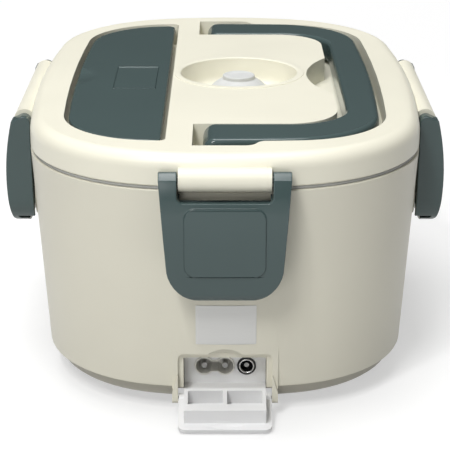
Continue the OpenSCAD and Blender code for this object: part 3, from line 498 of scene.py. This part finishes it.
class LUNCHBOX_OT_case(bpy.types.Operator):
    """Finish the case, its base and its feet"""

    bl_idname = "lunchbox.case"
    bl_label = "Case"

    def execute(self, context):
        colours = context.scene.lunchbox_colours
        dress(moulded("Shell plastic", colours.case, rough=0.42), "outer_shell")
        dress(moulded("Base plastic", colours.base, rough=0.5), "base_plate")
        dress(rubbery("Foot rubber", (0.10, 0.10, 0.10)), "feet")
        soften("outer_shell", 0.5 * MM)
        soften("base_plate", 0.4 * MM)
        return {"FINISHED"}


class LUNCHBOX_OT_lid(bpy.types.Operator):
    """Finish the lid, its liner and its valve"""

    bl_idname = "lunchbox.lid"
    bl_label = "Lid"

    def execute(self, context):
        colours = context.scene.lunchbox_colours
        dress(moulded("Lid plastic", colours.lid, rough=0.38), "lid_shell")
        dress(moulded("Liner plastic", (0.78, 0.78, 0.76)), "lid_liner")
        dress(rubbery("Valve silicone", (0.62, 0.63, 0.62), rough=0.5), "vent_valve")
        soften("lid_shell", 0.45 * MM)
        soften("vent_valve", 0.3 * MM)
        return {"FINISHED"}


class LUNCHBOX_OT_slate(bpy.types.Operator):
    """Finish the latches, the handle and the compartment cover"""

    bl_idname = "lunchbox.slate"
    bl_label = "Latches, handle and cover"

    def execute(self, context):
        colours = context.scene.lunchbox_colours
        slate = moulded("Slate plastic", colours.slate, rough=0.16, grain=0.03, gloss=0.42)
        for node in ("front_latch", "rear_latch", "left_latch", "right_latch"):
            dress(slate, node)
            soften(node, 0.4 * MM, angle=SHARP_ANGLE, clamp=False)
        dress(slate, "handle", "compartment_cover")
        soften("handle", 0.7 * MM, angle=SHARP_ANGLE, clamp=False)
        soften("compartment_cover", 0.45 * MM, angle=SHARP_ANGLE, clamp=False)
        return {"FINISHED"}


class LUNCHBOX_OT_seal(bpy.types.Operator):
    """Make the seal between lid and case: a flat ring with a round outer bead

    Each point of the bead is set in by r - r cos t and raised by r sin t from its middle."""

    bl_idname = "lunchbox.seal"
    bl_label = "Seal"

    def execute(self, context):
        low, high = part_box("lid_gasket")
        bead = (high[2] - low[2]) / 2
        turn = np.radians(np.linspace(-90.0, 90.0, BEAD_STEPS))
        inset = SEAL_IN + bead - bead * np.cos(turn)
        height = (low[2] + high[2]) / 2 + bead * np.sin(turn)
        round_side = np.stack([inset, height], axis=1)
        section = np.concatenate([round_side, [[SEAL_INNER, high[2]], [SEAL_INNER, low[2]]]])
        rows = [np.insert(plan_outline(depth), 2, z, axis=1) for depth, z in section]
        grid = np.stack(rows)
        faces = tube_faces(grid.shape[0], grid.shape[1], closed=True)
        seal = mesh_from("seal_ring", grid.reshape(-1, 3), faces)
        silicone = rubbery("Seal silicone", (0.40, 0.40, 0.38))
        dress(silicone, "lid_gasket")
        seal.data.materials.append(silicone)
        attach(seal, "lid")
        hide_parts("lid_gasket")
        return {"FINISHED"}


class LUNCHBOX_OT_label(bpy.types.Operator):
    """Make the blank label on the front wall"""

    bl_idname = "lunchbox.label"
    bl_label = "Blank label"

    def execute(self, context):
        sizes = context.scene.lunchbox_sizes
        loop = rounded_rectangle(sizes.label_width / 2, sizes.label_height / 2, LABEL_CORNER)
        # Share of the outline and height over the wall of each ring, from the back round
        # the edge to the middle of the face
        shares = np.concatenate([[0.97, 0.998, 1.0, 0.998, 0.99], np.linspace(0.9, 0.05, 9)])
        lifts = np.concatenate([[-0.15, -0.12, 0.06, 0.12, 0.14], np.full(9, 0.15)]) * MM
        x = shares[:, None] * loop[:, 0] + LABEL_RIGHT
        z = shares[:, None] * loop[:, 1] + sizes.label_middle
        label = loft("label_plate", on_front_wall(x, z, lifts[:, None]))
        foil = printed_foil("Label foil", context.scene.lunchbox_colours.label)
        label.data.materials.append(foil)
        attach(label, "case")
        return {"FINISHED"}


class LUNCHBOX_OT_jack(bpy.types.Operator):
    """Make the metal ring in the mouth of the low-voltage jack"""

    bl_idname = "lunchbox.jack"
    bl_label = "Jack ring"

    def execute(self, context):
        low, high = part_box("dc_jack")
        radius = (high[0] - low[0]) / 2
        centre = ((low[0] + high[0]) / 2, low[1], (low[2] + high[2]) / 2)
        # Radius and depth round the ring's section, in millimetres from the jack's mouth
        section = np.array([
            [-1.35, -3.0], [-0.7, -3.0], [-0.7, 0.05], [-0.85, 0.2], [-1.1, 0.2], [-1.3, 0.05],
            [-1.35, -0.3],
        ]) * MM
        section[:, 0] += radius
        grid = lathe(section, centre, steps=64)
        rows, columns, _ = grid.shape
        ring = mesh_from("jack_ring", grid.reshape(-1, 3), tube_faces(rows, columns, closed=True))
        ring.data.materials.append(drawn_steel("Jack ring metal", (0.75, 0.75, 0.75), rough=0.2))
        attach(ring, "case")
        return {"FINISHED"}


class LUNCHBOX_OT_metal(bpy.types.Operator):
    """Finish the steel and the electrical pieces"""

    bl_idname = "lunchbox.metal"
    bl_label = "Metal and electrics"

    def execute(self, context):
        colours = context.scene.lunchbox_colours
        steel = drawn_steel("Drawn steel", (0.66, 0.67, 0.68))
        dress(steel, "heating_basin", "main_container", "spoon", "fork")
        pin = drawn_steel("Plated pin", (0.72, 0.72, 0.73), rough=0.2)
        dress(pin, "base_screws", "clamp_nuts", "ac_pins", "jack_contact", "flap_pin")
        dress(pin, "cover_pins", "handle_pins", "heater_clamp", "heater_block")
        dark = drawn_steel("Blackened pin", (0.10, 0.10, 0.095), rough=0.35)
        dress(dark, "latch_pins")
        port = moulded("Port plastic", colours.port, rough=0.4)
        dress(port, "port_flap", "socket_panel")
        dress(moulded("Container plastic", (0.80, 0.80, 0.79)), "side_container")
        dress(moulded("Container lid plastic", (0.70, 0.74, 0.74)), "side_container_lid")
        dress(moulded("Inlet plastic", (0.80, 0.79, 0.74), rough=0.4), "ac_inlet")
        black = moulded("Black plastic", (0.02, 0.02, 0.022), rough=0.4)
        dress(black, "dc_jack", "thermostat", "board_parts")
        dress(solder_mask("Board lacquer", (0.01, 0.09, 0.035)), "power_board")
        dress(moulded("Fuse ceramic", (0.62, 0.56, 0.42), rough=0.6), "thermal_fuse")
        soften("port_flap", 0.35 * MM)
        soften("socket_panel", 0.3 * MM)
        soften("ac_inlet", 0.25 * MM)
        soften("main_container", 0.2 * MM)
        return {"FINISHED"}


class LUNCHBOX_OT_stage(bpy.types.Operator):
    """Set up the floor, the lamps and the camera"""

    bl_idname = "lunchbox.stage"
    bl_label = "Stage"

    def execute(self, context):
        scene = context.scene
        scene.view_settings.view_transform = "Standard"
        reach = np.array([-FLOOR_REACH, FLOOR_REACH])
        across, along = np.meshgrid(reach, reach)
        grid = np.stack([across, along, np.zeros((2, 2))], axis=-1)
        floor = mesh_from("floor", grid.reshape(-1, 3), [[0, 1, 3, 2]])
        finish = Finish("Floor")
        finish.put("Base Color", (FLOOR_COLOUR, FLOOR_COLOUR, FLOOR_COLOUR, 1.0))
        finish.put("Roughness", 0.9)
        finish.put("Specular IOR Level", 0.0)
        seen = finish.node("ShaderNodeLightPath", out="Is Camera Ray")
        seen = seen + finish.node("ShaderNodeLightPath", out="Is Glossy Ray")
        seen = seen + finish.node("ShaderNodeLightPath", out="Is Transmission Ray")
        place = finish.node("ShaderNodeTexCoord", out="Object")
        length = {"operation": "LENGTH"}
        away = finish.node("ShaderNodeVectorMath", length, {0: place}, out="Value")
        near = (FLOOR_GLOW, FLOOR_GLOW, FLOOR_GLOW, 1.0)
        glow = finish.mix(away.step(*GLOW_RISE), near, (1.0, 1.0, 1.0, 1.0))
        finish.put("Emission Color", finish.mix(seen, (0.0, 0.0, 0.0, 1.0), glow))
        finish.put("Emission Strength", 1.0)
        floor.data.materials.append(finish.material)

        world = bpy.data.worlds.new("Studio")
        scene.world = world
        world.use_nodes = True
        sky = Nodes(world.node_tree)
        way = sky.node("ShaderNodeTexCoord", out="Generated")
        height = sky.node("ShaderNodeSeparateXYZ", inputs={0: way}, out="Z")
        low, high = SKY
        glow = sky.mix(height.step(*SKY_RISE), (low, low, low, 1.0), (high, high, high, 1.0))
        background = world.node_tree.nodes["Background"]
        world.node_tree.links.new(glow.link, background.inputs["Color"])

        for name, place, size, power in LAMPS:
            lamp = bpy.data.lights.new(name, "AREA")
            lamp.shape = "DISK"
            lamp.size = size
            lamp.energy = power
            holder = bpy.data.objects.new(name, lamp)
            scene.collection.objects.link(holder)
            holder.location = place
            aim = np.array(LAMP_AIM) - np.array(place)
            holder.rotation_euler = (
                math.atan2(math.hypot(aim[0], aim[1]), -aim[2]),
                0.0,
                math.atan2(-aim[0], aim[1]),
            )

        view = bpy.data.cameras.new("camera")
        view.sensor_width = SENSOR_WIDTH
        view.lens = CAMERA_LENS
        holder = bpy.data.objects.new("camera", view)
        scene.collection.objects.link(holder)
        holder.location = CAMERA_PLACE
        holder.rotation_euler = (CAMERA_PITCH, 0.0, 0.0)
        scene.camera = holder
        return {"FINISHED"}


OPERATORS = (
    LUNCHBOX_OT_stage,
    LUNCHBOX_OT_case,
    LUNCHBOX_OT_lid,
    LUNCHBOX_OT_slate,
    LUNCHBOX_OT_metal,
    LUNCHBOX_OT_seal,
    LUNCHBOX_OT_label,
    LUNCHBOX_OT_jack,
)


class LUNCHBOX_PT_panel(bpy.types.Panel):
    """Lists the pieces in the sidebar"""

    bl_idname = "LUNCHBOX_PT_panel"
    bl_label = "Lunch Box"
    bl_space_type = "VIEW_3D"
    bl_region_type = "UI"
    bl_category = "Lunch Box"

    def draw(self, context):
        layout = self.layout
        for group in (context.scene.lunchbox_colours, context.scene.lunchbox_sizes):
            for name in type(group).__annotations__:
                layout.prop(group, name)
        for operator in OPERATORS:
            layout.operator(operator.bl_idname)


CLASSES = (LunchboxColours, LunchboxSizes) + OPERATORS + (LUNCHBOX_PT_panel,)


def register():
    for cls in CLASSES:
        bpy.utils.register_class(cls)
    bpy.types.Scene.lunchbox_colours = bpy.props.PointerProperty(type=LunchboxColours)
    bpy.types.Scene.lunchbox_sizes = bpy.props.PointerProperty(type=LunchboxSizes)


def unregister():
    del bpy.types.Scene.lunchbox_sizes
    del bpy.types.Scene.lunchbox_colours
    for cls in reversed(CLASSES):
        bpy.utils.unregister_class(cls)


def main():
    register()
    for operator in OPERATORS:
        group, name = operator.bl_idname.split(".")
        getattr(getattr(bpy.ops, group), name)()


if __name__ == "__main__":
    main()
